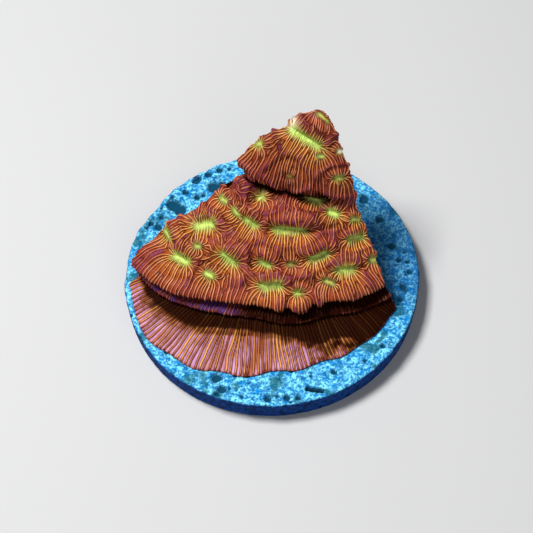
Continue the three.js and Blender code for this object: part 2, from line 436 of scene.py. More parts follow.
def rib_tissue():
    """Tissue drawn thin over the septal ribs.

    It reads as bright glossy cords, salmon to orange on the plate, golden on the skirt, and
    yellow-green where they run down into a mouth.
    """
    made, tree, marks = material("rib_tissue", "glow warm skirt tone shade flank ledge")
    place = add(tree, "ShaderNodeTexCoord").outputs["Object"]
    # Worn patches about 0.25 mm across.
    grain = add(tree, "ShaderNodeTexNoise", {"Vector": place, "Scale": 1 / (0.25 * MM), "Detail": 2})
    worn = add(tree, "ShaderNodeMapRange", {0: grain.outputs[0], 1: 0.3, 2: 0.7, 3: 0.35, 4: 0.0})
    gold = layered(tree, "#a8541e", [(marks["tone"], "#fdb64e")])
    # Painted shade: rib flanks are drawn in darker colours.
    lime = layered(tree, "#d8f284", [(marks["flank"], "#a9c250")])
    cord = layered(tree, "#b4563a", [
        (marks["tone"], "#e2936a"), (marks["warm"], "#efaa42"), (marks["skirt"], gold),
        (marks["flank"], "#611c0a"), (worn.outputs[0], "#8a3d28"), (marks["ledge"], "#5a2a50"),
        (marks["shade"], "#200b04"), (marks["glow"], lime),
    ])
    # Gloss fades where the ribs carry painted shade.
    gloss = add(tree, "ShaderNodeMapRange", {0: marks["shade"], 3: 0.32, 4: 0.0})
    shader = add(tree, "ShaderNodeBsdfPrincipled", {
        "Base Color": cord, "Roughness": 0.38, "IOR": 1.38, "Specular IOR Level": gloss.outputs[0],
        "Subsurface Weight": 0.08, "Subsurface Scale": 0.3 * MM, "Subsurface Radius": (1.0, 0.5, 0.3),
    })
    add(tree, "ShaderNodeOutputMaterial", {"Surface": shader.outputs[0]})
    return made


def cast_ceramic():
    """Porous ceramic, cast and fired unglazed, and tinted sea-blue.

    It reads as a dry, chalky, pale blue surface, broken up by pores of every size that are drawn
    dark teal inside as painted shade, with films of green algae in patches and a wall drawn a deeper
    blue as painted shade.
    """
    made, tree, marks = material("cast_ceramic", "pore wall deep")
    place = add(tree, "ShaderNodeTexCoord").outputs["Object"]
    # Mottling of 0.45 mm and algae films of 2 mm. The grit is drawn in two sizes, 0.24 and 0.32 mm,
    # coarser than it is.
    mottle = add(tree, "ShaderNodeTexNoise", {"Vector": place, "Scale": 1 / (0.45 * MM), "Detail": 4})
    mottled = add(tree, "ShaderNodeMapRange", {0: mottle.outputs[0], 1: 0.36, 2: 0.62}).outputs[0]
    fine = add(tree, "ShaderNodeTexNoise", {"Vector": place, "Scale": 1 / (0.24 * MM), "Detail": 2})
    fine = add(tree, "ShaderNodeMapRange", {0: fine.outputs[0], 1: 0.42, 2: 0.55, 3: 0.8, 4: 0.0})
    grit = add(tree, "ShaderNodeTexVoronoi", {"Vector": place, "Scale": 1 / (0.32 * MM)})
    grit = add(tree, "ShaderNodeMapRange", {0: grit.outputs[0], 1: 0.05, 2: 0.32, 3: 0.65, 4: 0.0})
    film = add(tree, "ShaderNodeTexNoise", {"Vector": place, "Scale": 1 / (2.0 * MM), "Detail": 3})
    film = add(tree, "ShaderNodeMapRange", {0: film.outputs[0], 1: 0.56, 2: 0.64, 3: 0.0, 4: 0.8})
    # Painted shade in recesses: pits and pores are drawn dark teal inside and the slot near black.
    # Only the slot is marked deeper than 1.
    pored = add(tree, "ShaderNodeMapRange", {0: marks["pore"], 1: 0.1, 2: 0.75})
    slotted = add(tree, "ShaderNodeMapRange", {0: marks["pore"], 1: 1.0, 2: 1.5})
    # Painted shade: the wall, facing sideways, is drawn a deeper blue.
    side = layered(tree, "#021c48", [(mottled, "#07408e")])
    # Painted shadow of the coral is laid on in a deep blue.
    color = layered(tree, "#0580cc", [
        (mottled, "#88e6ff"), (fine.outputs[0], "#075f96"), (grit.outputs[0], "#06507c"),
        (film.outputs[0], "#0b5460"), (marks["deep"], "#04407c"), (marks["wall"], side),
        (pored.outputs[0], "#05405c"), (slotted.outputs[0], "#021722"),
    ])
    bump = add(tree, "ShaderNodeBump", {
        "Height": mottle.outputs[0], "Strength": 0.5, "Distance": 0.15 * MM,
    })
    shader = add(tree, "ShaderNodeBsdfPrincipled", {
        "Base Color": color, "Roughness": 0.9, "IOR": 1.45, "Specular IOR Level": 0.15,
        "Normal": bump.outputs[0],
    })
    add(tree, "ShaderNodeOutputMaterial", {"Surface": shader.outputs[0]})
    return made


def painted_floor():
    """Matt studio paint: a plain pale grey that shows only soft shadows."""
    made, tree, _ = material("painted_floor")
    shader = add(tree, "ShaderNodeBsdfPrincipled", {"Base Color": linear(FLOOR_COLOR), "Roughness": 0.9})
    add(tree, "ShaderNodeOutputMaterial", {"Surface": shader.outputs[0]})
    return made


# ---- The coral's body

class Colony:
    """The coral's surface, with what the ribs need to know about it."""

    def __init__(self, piece):
        self.mesh = piece.data
        top = max(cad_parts["coral_colony"].data.vertices, key=lambda v: v.co.z).co / MM
        self.point = np.array([top.x, top.y])
        self.index_surface()
        self.place_mouths()

    def index_surface(self):
        mesh = self.mesh
        mesh.calc_loop_triangles()
        corners = np.empty(len(mesh.loop_triangles) * 3, np.int32)
        mesh.loop_triangles.foreach_get("vertices", corners)
        self.corners = corners.reshape(-1, 3)
        self.places = positions(mesh)
        self.tree = BVHTree.FromPolygons(self.places.tolist(), self.corners.tolist())

    def nearest(self, place):
        """The nearest place on the surface, the normal there and a vertex next to it."""
        found, normal, face, _ = self.tree.find_nearest(Vector(place))
        return np.array(found), np.array(normal), self.corners[face][0]

    def place_mouths(self):
        """Each mouth is a short line, from one end to the other, on the surface."""
        ends = []
        for azimuth, reach, height, length, turn, size, glow in POLYPS:
            angle = math.radians(azimuth)
            out = np.array([math.cos(angle), math.sin(angle), 0])
            centre = np.array([*self.point, DISC_TOP + height]) + reach * out
            centre, normal, _ = self.nearest(centre)
            level = np.array([1, 0, 0]) - normal * normal[0]
            level /= np.linalg.norm(level)
            uphill = np.cross(normal, level)
            lean = math.radians(turn)
            line = level * math.cos(lean) + uphill * math.sin(lean)
            downhill = out - normal * (normal @ out)
            downhill /= np.linalg.norm(downhill)
            half = line * length / 2
            ends.append((centre - half, centre + half, size, glow, downhill))
        self.mouth_start = np.array([e[0] for e in ends])
        self.mouth_line = np.array([e[1] - e[0] for e in ends])
        self.mouth_size = np.array([e[2] for e in ends])
        self.mouth_glow = np.array([e[3] for e in ends])
        self.mouth_down = np.array([e[4] for e in ends])
        self.mouth_square = np.maximum((self.mouth_line ** 2).sum(1), 1e-9)

    def from_mouths(self, places):
        """Vectors from each mouth's nearest point to each place, and their lengths."""
        places = np.atleast_2d(places)
        offset = places[:, None] - self.mouth_start
        share = np.clip((offset * self.mouth_line).sum(2) / self.mouth_square, 0, 1)
        offset = offset - share[..., None] * self.mouth_line
        return offset, np.sqrt((offset ** 2).sum(2))

    def beside_mouths(self, offset, distance):
        """How far each place lies downhill of each mouth, and aside of it, in polyp sizes."""
        down = (offset * self.mouth_down).sum(2)
        aside = np.sqrt(np.maximum(distance ** 2 - down ** 2, 0))
        return down / self.mouth_size, aside / self.mouth_size

    def glow_at(self, distance, narrow, wide):
        """The strongest glow, fading over narrow millimetres and wide polyp sizes."""
        reach = narrow + wide * self.mouth_size
        return (self.mouth_glow * np.exp(-(distance / reach) ** 2)).max(1)

    def warm_at(self, down, aside, wide):
        """Warm tissue round the mouths, drawn out downhill."""
        run = np.where(down > 0, down / 1.9, down / 0.7)
        return (self.mouth_glow * np.exp(-(run ** 2 + aside ** 2) / wide ** 2)).max(1)

    def azimuth_share(self, places):
        """The azimuth round the slice's point, and its share of the way from left cut to right."""
        places = np.atleast_2d(places)
        azimuth = np.degrees(np.arctan2(places[:, 1] - self.point[1], places[:, 0] - self.point[0]))
        azimuth = np.where(azimuth > 90, azimuth - 360, azimuth)
        return azimuth, np.clip((azimuth - LEFT_CUT) / (RIGHT_CUT - LEFT_CUT), 0, 1)

    def flow(self, place, normal):
        """The way a rib runs: out from the point, bent round the mouths near it."""
        azimuth, share = self.azimuth_share(place)
        low = smoothstep(SKIRT_HEIGHT + 0.7, SKIRT_HEIGHT - 0.2, place[2] - DISC_TOP)
        swing = (1 - low) * along(PLATE_SWING, share) + low * along(SKIRT_SWING, share)
        angle = np.radians(azimuth + swing)[0]
        across = np.array([-math.sin(angle), math.cos(angle), 0])
        down = np.cross(across, normal)
        down /= np.linalg.norm(down) + 1e-9
        side = np.cross(normal, down)
        offset, distance = self.from_mouths(place)
        offset, distance = offset[0], distance[0]
        x = offset @ down
        y = offset @ side
        length = np.maximum(x * x + y * y, 1e-6)
        pull = np.minimum((2.1 * self.mouth_size / np.maximum(distance, 0.05)) ** 3, 200.0)
        pull = pull * (1 - low)
        cosine = 1 + (pull * (x * x - y * y) / length).sum()
        sine = (pull * 2 * x * y / length).sum()
        bend = math.atan2(sine, cosine) / 2
        bend += 0.2 * noise.noise(Vector(place) / 1.1)
        bend += 0.2 * noise.noise(Vector(place) / 0.5) * (1 - 0.7 * low)
        return down * math.cos(bend) + side * math.sin(bend), distance.min()


def blocked(colony, starts, rays, reach=9.0):
    """The share of rays, given by azimuth and elevation, that the coral stops on their way out."""
    lines = []
    for azimuth, elevation in rays:
        flat = math.cos(math.radians(elevation))
        turn = math.radians(azimuth)
        climb = math.sin(math.radians(elevation))
        lines.append(Vector((flat * math.cos(turn), flat * math.sin(turn), climb)))
    stopped = np.zeros(len(starts))
    for i, start in enumerate(starts):
        start = Vector(start)
        stopped[i] = sum(colony.tree.ray_cast(start, line, reach)[0] is not None for line in lines)
    return stopped / len(lines)


def shape_body(colony):
    """Softens the body and presses in its polyps, ridges, lobe and saw marks."""
    mesh = colony.mesh
    places = relaxed(mesh, positions(mesh), RELAX_ROUNDS)
    set_positions(mesh, places)
    direction = normals(mesh)
    azimuth, _ = colony.azimuth_share(places)

    # A saw cut faces back, away from the growing face.
    facing = [np.radians(LEFT_CUT - 90), np.radians(RIGHT_CUT + 90)]
    turned = [direction[:, 0] * math.cos(a) + direction[:, 1] * math.sin(a) for a in facing]
    cut = smoothstep(0.5, 0.75, np.maximum(*turned))
    under = smoothstep(-0.6, -0.9, direction[:, 2]) * (places[:, 2] < SEAT + 0.1)
    face = np.flatnonzero((cut < 0.3) & (under < 0.3))
    sawn = np.flatnonzero(cut >= 0.3)
    from_rim = np.zeros(len(places))
    from_rim[sawn] = gaps(places[sawn], places[face])
    from_cut = np.full(len(places), 9.0)
    from_cut[face] = gaps(places[face], places[sawn])
    creep = CUT_BAND * (1 + 0.55 * noise_at(places, 1.6) + 0.25 * noise_at(places, 0.5))
    bare = smoothstep(-0.12, 0.12, from_rim - creep) * (from_rim > 0)

    offset, distance = colony.from_mouths(places)
    down, aside = colony.beside_mouths(offset, distance)
    ordered = np.sort(distance, axis=1)
    size = colony.mouth_size[distance.argmin(1)]
    near = ordered[:, 0] / size
    height = places[:, 2] - DISC_TOP
    skirt = smoothstep(SKIRT_HEIGHT + 0.25, SKIRT_HEIGHT - 0.25, height)
    plate = (1 - skirt) * (1 - bare) * (1 - under)

    # Each mouth lies at the foot of a steep lip, and the terrace below it slopes away gently.
    rise = -PIT_DEPTH * np.exp(-(near / 0.65) ** 2) * size
    lip = smoothstep(-0.12, -0.45, down) * smoothstep(-2.1, -0.9, down) * smoothstep(1.6, 0.5, aside)
    inland = smoothstep(0.2, 1.3, from_cut)
    rise += LIP_RISE * (lip * colony.mouth_size).max(1) * inland
    rise += 0.05 * np.exp(-(near / 0.2) ** 2)  # the mouth's own lips
    saddle = np.exp(-((ordered[:, 1] - ordered[:, 0]) / 0.55) ** 2)
    saddle *= smoothstep(1.0, 1.6, ordered[:, 0]) * smoothstep(3.6, 2.4, ordered[:, 0])
    rise += SADDLE_RISE * saddle
    on_lobe = np.zeros(len(places))
    for place, lobe_size, lobe_rise in LOBES:
        from_lobe = np.linalg.norm(places - np.array(place), axis=1) / lobe_size
        on_lobe = np.maximum(on_lobe, smoothstep(1.4, 0.9, from_lobe))
        moat = 0.35 * np.exp(-((from_lobe - 1.5) / 0.25) ** 2)
        rise += lobe_rise * (smoothstep(1.35, 0.5, from_lobe) - moat)
    rise += 0.12 * noise_at(places, 2.2, 3) + 0.09 * noise_at(places, 0.85, 13)
    rise = rise * plate
    from_fold = np.abs(azimuth - SKIRT_FOLD)
    rise += (0.06 * noise_at(places, 1.2, 9) - FOLD_DEPTH * np.exp(-(from_fold / 1.3) ** 2)) * skirt
    # The bared skeleton lies a little lower than the tissue, and shows growth layers and pores.
    layer = np.sin(height * 2 * math.pi / 0.62 + 3.5 * noise_at(places, 2.0, 5))
    pocked = smoothstep(0.1, 0.45, noise_at(places, 0.42, 7))
    rise += bare * (-CUT_DEPTH + 0.012 * layer - 0.08 * pocked)
    set_attribute(mesh, "pocked", pocked * bare)
    rise *= 1 - under
    places = places + direction * rise[:, None]
    places[:, 2] = np.maximum(places[:, 2], SEAT)
    set_positions(mesh, places)

    colony.index_surface()
    hollow = relaxed(mesh, places, 26)
    convex = ((places - hollow) * normals(mesh)).sum(1)
    convex = evened(mesh, convex, 3)
    crest = np.clip(0.9 * smoothstep(0.05, 0.2, convex) + 0.8 * saddle, 0, 1)
    crest *= smoothstep(1.1, 1.9, near)
    face_of_lip = smoothstep(-0.1, -0.4, down) * smoothstep(-1.5, -0.8, down) * smoothstep(1.7, 0.7, aside)
    crest = np.maximum(crest, face_of_lip.max(1))
    ragged = distance * (1 + 0.5 * noise_at(places, 0.45, 17))[:, None]
    speckled = 1 - 0.35 * smoothstep(-0.05, 0.4, noise_at(places, 0.3, 31))
    set_attribute(mesh, "glow", colony.glow_at(ragged, 0.13, 0.27) * speckled * (1 - skirt))
    set_attribute(mesh, "warm", 0.9 * colony.warm_at(down, aside, 1.4) * (1 - skirt))
    # A violet ledge runs under the plate's lip, at the left.
    ledge = smoothstep(1.5, 1.9, height) * smoothstep(3.0, 2.5, height) * smoothstep(-119, -127, azimuth)
    far_left = smoothstep(-151, -155, azimuth) * smoothstep(4.9, 4.2, height)
    crest = np.maximum.reduce([crest, ledge, 0.8 * far_left, 0.9 * on_lobe * (height > 8)])
    patchy = 0.6 + 0.4 * smoothstep(-0.35, 0.35, noise_at(places, 2.4, 2))
    pale = np.zeros(len(places))
    for place, spot_size in PALE_SPOTS:
        from_spot = np.linalg.norm(places - np.array(place), axis=1) / spot_size
        pale = np.maximum(pale, np.exp(-from_spot ** 2))
    set_attribute(mesh, "pale", pale)
    colony.ledge = 0.8 * ledge * smoothstep(-0.1, 0.35, noise_at(places, 0.9, 23))
    set_attribute(mesh, "ledge", colony.ledge)
    set_attribute(mesh, "crest", crest * (1 - skirt) * patchy)
    colony.crest = crest * (1 - skirt)
    set_attribute(mesh, "skirt", skirt)
    # Golden streaks run down the skirt in groups; its foot and its margin are golden too,
    # and so is the skirt under the painted shadow, so that shadow reads brown.
    spin = np.stack([azimuth / 4.2, np.zeros(len(places)), height / 3], 1)
    streak = smoothstep(-0.2, 0.35, noise_at(spin, 1.0, 4))
    streak *= 1 - 0.6 * smoothstep(-128, -140, azimuth)
    streak = np.maximum(streak, smoothstep(0.75, 1.15, height))
    margin = smoothstep(0.32, 0.12, height)
    set_attribute(mesh, "bare", bare)
    # Painted shade: clefts that see little of the sky are drawn darker.
    starts = relaxed(mesh, places, 2) + 0.16 * normals(mesh)
    sky = [(360 * i / 7, 25) for i in range(7)] + [(360 * i / 6 + 30, 50) for i in range(6)]
    sky += [(0, 78), (180, 78)]
    hidden = evened(mesh, blocked(colony, starts, sky), 2)
    hidden = smoothstep(0.36, 0.66, hidden) * smoothstep(0.2, 0.8, near)
    # Painted shadow: tissue low down behind the plate's lip is drawn nearly black,
    # as if shaded from a light at the back left.
    behind = [(azimuth_out, up) for azimuth_out in (100, 125, 150) for up in (33, 41, 49)]
    low = smoothstep(3.5, 2.9, height)
    lee_shadow = np.zeros(len(places))
    lee_shadow[low > 0] = blocked(colony, starts[low > 0], behind)
    lee_shadow = evened(mesh, lee_shadow, 2) + 0.12 * noise_at(places, 0.7, 27)
    lee_shadow *= 1 + 0.8 * smoothstep(-104, -84, azimuth)
    lee_shadow = smoothstep(0.04, 0.52, lee_shadow) * low
    # Painted light: the violet ledge and convex rims low down keep less of the painted shadow.
    rim = 0.45 * smoothstep(0.04, 0.14, convex) * low
    hidden = np.maximum(hidden, lee_shadow) * (1 - 0.65 * ledge) * (1 - rim)
    set_attribute(mesh, "gold", np.maximum.reduce([streak, margin, smoothstep(0.0, 0.5, lee_shadow)]) * skirt)
    # Painted shade: the cap is drawn darker in patches, away from its mouths.
    cap = smoothstep(9.2, 10.6, height) * (1 - smoothstep(-0.5, 0.6, noise_at(places, 3.5, 19)) * 0.6)
    hidden = np.maximum(hidden, 0.34 * cap * smoothstep(0.6, 1.6, near))
    # Painted shade in creases: hollows away from the mouths are drawn darker.
    groove = 0.7 * smoothstep(-0.05, -0.2, convex) * smoothstep(0.5, 1.2, near)
    set_attribute(mesh, "shade", np.maximum(groove, 0.96 * hidden) * (1 - 0.6 * bare))
    set_attribute(mesh, "plain", np.maximum(under > 0.5, bare > 0.99))
    set_attribute(mesh, "ribbed", (1 - bare) * (1 - under) * (from_rim < 0.75 * CUT_BAND))
    colony.convex = convex
    colony.shade = get_attribute(mesh, "shade")
    colony.ribbed = get_attribute(mesh, "ribbed")


# ---- The ribs' lines

class RibLines:
    """Lines traced over the colony, spaced evenly, each a list of (place, distance to a mouth)."""

    CELL = 0.42

    def __init__(self, colony):
        self.colony = colony
        self.lines = []
        self.cells = {}

    def key(self, place):
        return tuple(int(c // self.CELL) for c in place)

    def spacing(self, place, from_mouth):
        close = float(smoothstep(0.15, 1.5, from_mouth))
        uneven = 1 + 0.3 * noise.noise(Vector(place) / 0.9)
        return RIB_SPACING_AT_MOUTH + (RIB_SPACING * uneven - RIB_SPACING_AT_MOUTH) * close

    def crowded(self, place, room):
        x, y, z = self.key(place)
        limit = room * room
        for i in (x - 1, x, x + 1):
            for j in (y - 1, y, y + 1):
                for k in (z - 1, z, z + 1):
                    for px, py, pz in self.cells.get((i, j, k), ()):
                        gap = (px - place[0]) ** 2 + (py - place[1]) ** 2 + (pz - place[2]) ** 2
                        if gap < limit:
                            return True
        return False

    def grow(self, start, heading, room_share, longest):
        """Steps from start until the line meets another, a mouth, a saw cut or the disc."""
        colony = self.colony
        place, steps = start, []
        before = heading
        for _ in range(int(longest / RIB_STEP)):
            nearby, normal, vertex = colony.nearest(place + before * RIB_STEP)
            way, from_mouth = colony.flow(nearby, normal)
            if way @ before < 0:
                way = -way
            if way @ before < 0.5:
                break
            if colony.ribbed[vertex] < 0.5 or nearby[2] < SEAT + RIB_FOOT:
                break
            if from_mouth < MOUTH_GAP or np.linalg.norm(nearby - place) < RIB_STEP * 0.3:
                break
            if self.crowded(nearby, room_share * self.spacing(nearby, from_mouth)):
                break
            steps.append((nearby, from_mouth))
            place, before = nearby, way
        return steps

    def trace(self, seed, shortest=0.55, longest=16.0, room_share=0.62):
        """Adds the line through a seed, if there is room for it."""
        place, normal, vertex = self.colony.nearest(seed)
        if self.colony.ribbed[vertex] < 0.5 or place[2] < SEAT + RIB_FOOT:
            return None
        way, from_mouth = self.colony.flow(place, normal)
        if from_mouth < MOUTH_GAP or self.crowded(place, 0.86 * self.spacing(place, from_mouth)):
            return None
        ahead = self.grow(place, way, room_share, longest)
        behind = self.grow(place, -way, room_share, longest)
        line = behind[::-1] + [(place, from_mouth)] + ahead
        if len(line) * RIB_STEP < shortest:
            return None
        self.lines.append(line)
        for spot, _ in line:
            self.cells.setdefault(self.key(spot), []).append(tuple(spot))
        return line

    def fill(self, first):
        """Traces every line that fits beside a given line, then beside those."""
        waiting = [first]
        while waiting:
            line = waiting.pop(0)
            for i in range(1, len(line) - 1, 3):
                place, from_mouth = line[i]
                way = line[i + 1][0] - line[i - 1][0]
                _, normal, _ = self.colony.nearest(place)
                side = np.cross(normal, way)
                side /= np.linalg.norm(side) + 1e-9
                for sign in (1, -1):
                    made = self.trace(place + side * sign * self.spacing(place, from_mouth))
                    if made:
                        waiting.append(made)


def trace_ribs(colony):
    ribs = RibLines(colony)
    # The skirt's ribs start from its middle, so that they run unbroken from gap to margin.
    for step in range(SKIRT_SEEDS):
        share = (step + 0.5) / SKIRT_SEEDS
        azimuth = math.radians(LEFT_CUT + 3 + share * (RIGHT_CUT - LEFT_CUT - 4))
        reach = along(SKIRT_MIDDLE, share)
        x, y = colony.point + reach * np.array([math.cos(azimuth), math.sin(azimuth)])
        ribs.trace((x, y, DISC_TOP + 0.6), room_share=0.5)
    # Every mouth then sends out its own ribs.
    for start, line in zip(colony.mouth_start, colony.mouth_line):
        centre, normal, _ = colony.nearest(start + line / 2)
        length = np.linalg.norm(line)
        long_way = line / (length + 1e-9)
        wide_way = np.cross(normal, long_way)
        count = int(RIBS_PER_MOUTH + RIBS_PER_MM * length)
        for i in range(count):
            angle = 2 * math.pi * (i + 0.5) / count
            seed = centre + long_way * math.cos(angle) * (length / 2 + SEED_GAP)
            seed = seed + wide_way * math.sin(angle) * SEED_GAP
            ribs.trace(seed, longest=9.0, room_share=0.5)
    for line in list(ribs.lines):
        ribs.fill(line)
    face = np.flatnonzero(colony.ribbed > 0.5)
    picker = random.Random(5)
    for _ in range(EXTRA_SEEDS):
        made = ribs.trace(colony.places[picker.choice(face)])
        if made:
            ribs.fill(made)
    return ribs


def rib_tree():
    """Geometry Nodes: sweeps edge lines into solid ribs, as thick as their own attribute says."""
    tree, given = geometry_tree("raised_ribs", {"Sides": "Int", "Thickness": "Float"})
    lines = add(tree, "GeometryNodeMeshToCurve", {"Mesh": given["Geometry"]})
    thick = add(tree, "GeometryNodeInputNamedAttribute", {"Name": "thick"}, data_type="FLOAT")
    scale = add(tree, "ShaderNodeMath", {
        0: thick.outputs["Attribute"], 1: given["Thickness"],
    }, operation="MULTIPLY")
    ring = add(tree, "GeometryNodeCurvePrimitiveCircle", {"Resolution": given["Sides"], "Radius": 1.0})
    sweep = add(tree, "GeometryNodeCurveToMesh", {
        "Curve": lines.outputs["Curve"], "Profile Curve": ring.outputs["Curve"], "Fill Caps": True,
        "Scale": scale.outputs[0],
    })
    deliver(tree, sweep.outputs["Mesh"], given["Material"])
    return tree


def make_ribs(colony, ribs, name, tree, finish):
    """One piece from the lines of its own part of the coral, swept by Geometry Nodes."""
    picker = random.Random(21)
    places, edges = [], []
    values = {key: [] for key in ("thick", "glow", "warm", "skirt", "tone", "shade", "ledge")}
    for line in ribs.lines:
        tone, heavy = picker.random(), picker.random()
        spots = np.array([spot for spot, _ in line])
        skirt = smoothstep(SKIRT_HEIGHT + 0.3, SKIRT_HEIGHT - 0.2, spots[:, 2] - DISC_TOP)
        upper = spots[:, 2].mean() - DISC_TOP > CAP_HEIGHT
        if name != ("skirt_ribs" if skirt.mean() > 0.5 else "cap_ribs" if upper else "plate_ribs"):
            continue
        spots[1:-1] = (spots[:-2] + 2 * spots[1:-1] + spots[2:]) / 4
        found = [colony.nearest(spot) for spot in spots]
        vertices = [vertex for _, _, vertex in found]
        normal = np.array([n for _, n, _ in found])
        offset, distance = colony.from_mouths(spots)
        down, aside = colony.beside_mouths(offset, distance)
        size = colony.mouth_size[distance.argmin(1)]
        near = distance.min(1) / size
        convex = colony.convex[vertices]
        ends = np.minimum(np.arange(len(line)), np.arange(len(line))[::-1]) * RIB_STEP
        taper = 0.35 + 0.65 * smoothstep(0, 0.45, ends)
        base = PLATE_RIB * (0.85 + 0.3 * heavy) * (1 - skirt)
        base = base + SKIRT_RIB * (0.6 + 0.8 * heavy ** 2) * skirt
        swell = 1 + 0.5 * smoothstep(0.04, 0.22, convex) * (1 - skirt)
        swell *= 1 - 0.25 * colony.crest[vertices]
        swell *= 1 - 0.45 * np.exp(-(near / 0.8) ** 2) * (1 - skirt)
        beads = 1 + 0.14 * noise_at(spots, 0.35, 4)
        thick = base * taper * swell * beads
        lift = -0.3 * thick * (1 - skirt) - 0.45 * thick * skirt
        first = len(places)
        places.extend(((spots + normal * lift[:, None]) * MM).tolist())
        edges.extend((first + i, first + i + 1) for i in range(len(line) - 1))
        values["thick"].extend(thick * MM)
        ragged = distance * (1 + 0.35 * noise_at(spots, 0.45, 17))[:, None]
        values["glow"].extend(0.95 * colony.glow_at(ragged, 0.17, 0.4) * (1 - skirt))
        values["warm"].extend(0.9 * colony.warm_at(down, aside, 1.45) * (1 - skirt))
        values["skirt"].extend(skirt)
        values["ledge"].extend(0.85 * colony.ledge[vertices])
        bright = tone * 0.7 + 0.3 * smoothstep(-0.1, 0.15, convex) - 0.5 * colony.crest[vertices]
        values["tone"].extend(np.clip(bright, 0, 1))
        # Ribs carry the body's painted shade, fully where it is deepest.
        shade = colony.shade[vertices]
        values["shade"].extend(0.82 * shade + 0.18 * smoothstep(0.7, 0.92, shade))
    mesh = bpy.data.meshes.new(name)
    mesh.from_pydata(places, edges, [])
    for key, listed in values.items():
        set_attribute(mesh, key, listed)
    piece = new_piece(name, mesh)
    run_tree(piece, "raised_ribs", tree, {"Sides": RIB_SIDES, "Thickness": 1.0, "Material": finish})
    swept = bake_modifiers(piece)
    # Painted light and shade: a rib's crest is drawn bright and its flanks dark,
    # by their height over the surface.
    spots = positions(swept)
    found = [colony.nearest(spot) for spot in spots]
    over = ((spots - [place for place, _, _ in found]) * [way for _, way, _ in found]).sum(1)
    set_attribute(swept, "flank", smoothstep(0.052, 0.0, over))
    finish_piece(piece, "coral_colony")


def mark_between(colony, ribs):
    """Marks the flesh between the ribs, 0 beside one, where it is drawn dark as painted shade,
    and 1 well away from all, and furrows it.
    """
    gap = gaps(colony.places, [spot for line in ribs.lines for spot, _ in line])
    skirt = get_attribute(colony.mesh, "skirt")
    set_attribute(colony.mesh, "between", smoothstep(0.1, 0.19 + 0.05 * skirt, gap))
    furrow = smoothstep(0.0, 0.12, gap) * smoothstep(0.3, 0.16, gap) * colony.ribbed
    set_positions(colony.mesh, colony.places - FURROW_DEPTH * furrow[:, None] * normals(colony.mesh))


# ---- The disc

def pore_tree():
    """Geometry Nodes: sinks round pores of random sizes at random places."""
    kinds = dict.fromkeys(("Spacing", "Smallest", "Largest", "Depth", "Darkness"), "Float")
    tree, given = geometry_tree("sunk_pores", {**kinds, "Seed": "Int"})
    scatter = add(tree, "GeometryNodeDistributePointsOnFaces", {
        "Mesh": given["Geometry"], "Distance Min": given["Spacing"], "Density Max": 1e7,
        "Seed": given["Seed"],
    }, distribute_method="POISSON")
    size = add(tree, "FunctionNodeRandomValue", {
        2: given["Smallest"], 3: given["Largest"], "Seed": given["Seed"],
    })
    sized = add(tree, "GeometryNodeStoreNamedAttribute", {
        "Geometry": scatter.outputs["Points"], "Name": "pore_size", "Value": size.outputs[1],
    }, data_type="FLOAT", domain="POINT").outputs[0]
    nearest = add(tree, "GeometryNodeSampleNearest", {"Geometry": sized}, domain="POINT").outputs[0]
    spot = add(tree, "GeometryNodeInputPosition").outputs[0]
    centre = add(tree, "GeometryNodeSampleIndex", {
        "Geometry": sized, "Value": spot, "Index": nearest,
    }, data_type="FLOAT_VECTOR").outputs[0]
    stored = {}
    for name in ("pore_size", "allowed", "pore"):
        found = add(tree, "GeometryNodeInputNamedAttribute", {"Name": name}, data_type="FLOAT")
        stored[name] = found.outputs["Attribute"]
    radius = add(tree, "GeometryNodeSampleIndex", {
        "Geometry": sized, "Value": stored["pore_size"], "Index": nearest,
    }, data_type="FLOAT").outputs[0]
    gap = add(tree, "ShaderNodeVectorMath", {0: spot, 1: centre}, operation="DISTANCE").outputs["Value"]
    share = add(tree, "ShaderNodeMath", {0: gap, 1: radius}, operation="DIVIDE").outputs[0]
    bowl = add(tree, "ShaderNodeMapRange", {
        0: share, 1: 1.0, 2: 0.35, 3: 0.0, 4: 1.0,
    }, interpolation_type="SMOOTHSTEP").outputs[0]
    bowl = add(tree, "ShaderNodeMath", {0: bowl, 1: stored["allowed"]}, operation="MULTIPLY").outputs[0]
    sink = add(tree, "ShaderNodeMath", {0: bowl, 1: given["Depth"]}, operation="MULTIPLY").outputs[0]
    down = add(tree, "ShaderNodeMath", {0: sink, 1: -1.0}, operation="MULTIPLY").outputs[0]
    outward = add(tree, "GeometryNodeInputNormal").outputs[0]
    offset = add(tree, "ShaderNodeVectorMath", {0: outward, "Scale": down}, operation="SCALE")
    # Painted shade: pores are marked darker towards their deepest point.
    dark = add(tree, "ShaderNodeMath", {0: bowl, 1: given["Darkness"]}, operation="MULTIPLY").outputs[0]
    deepest = add(tree, "ShaderNodeMath", {0: stored["pore"], 1: dark}, operation="MAXIMUM").outputs[0]
    marked = add(tree, "GeometryNodeStoreNamedAttribute", {
        "Geometry": given["Geometry"], "Name": "pore", "Value": deepest,
    }, data_type="FLOAT", domain="POINT")
    moved = add(tree, "GeometryNodeSetPosition", {
        "Geometry": marked.outputs[0], "Offset": offset.outputs[0],
    })
    deliver(tree, moved.outputs[0], given["Material"])
    return tree


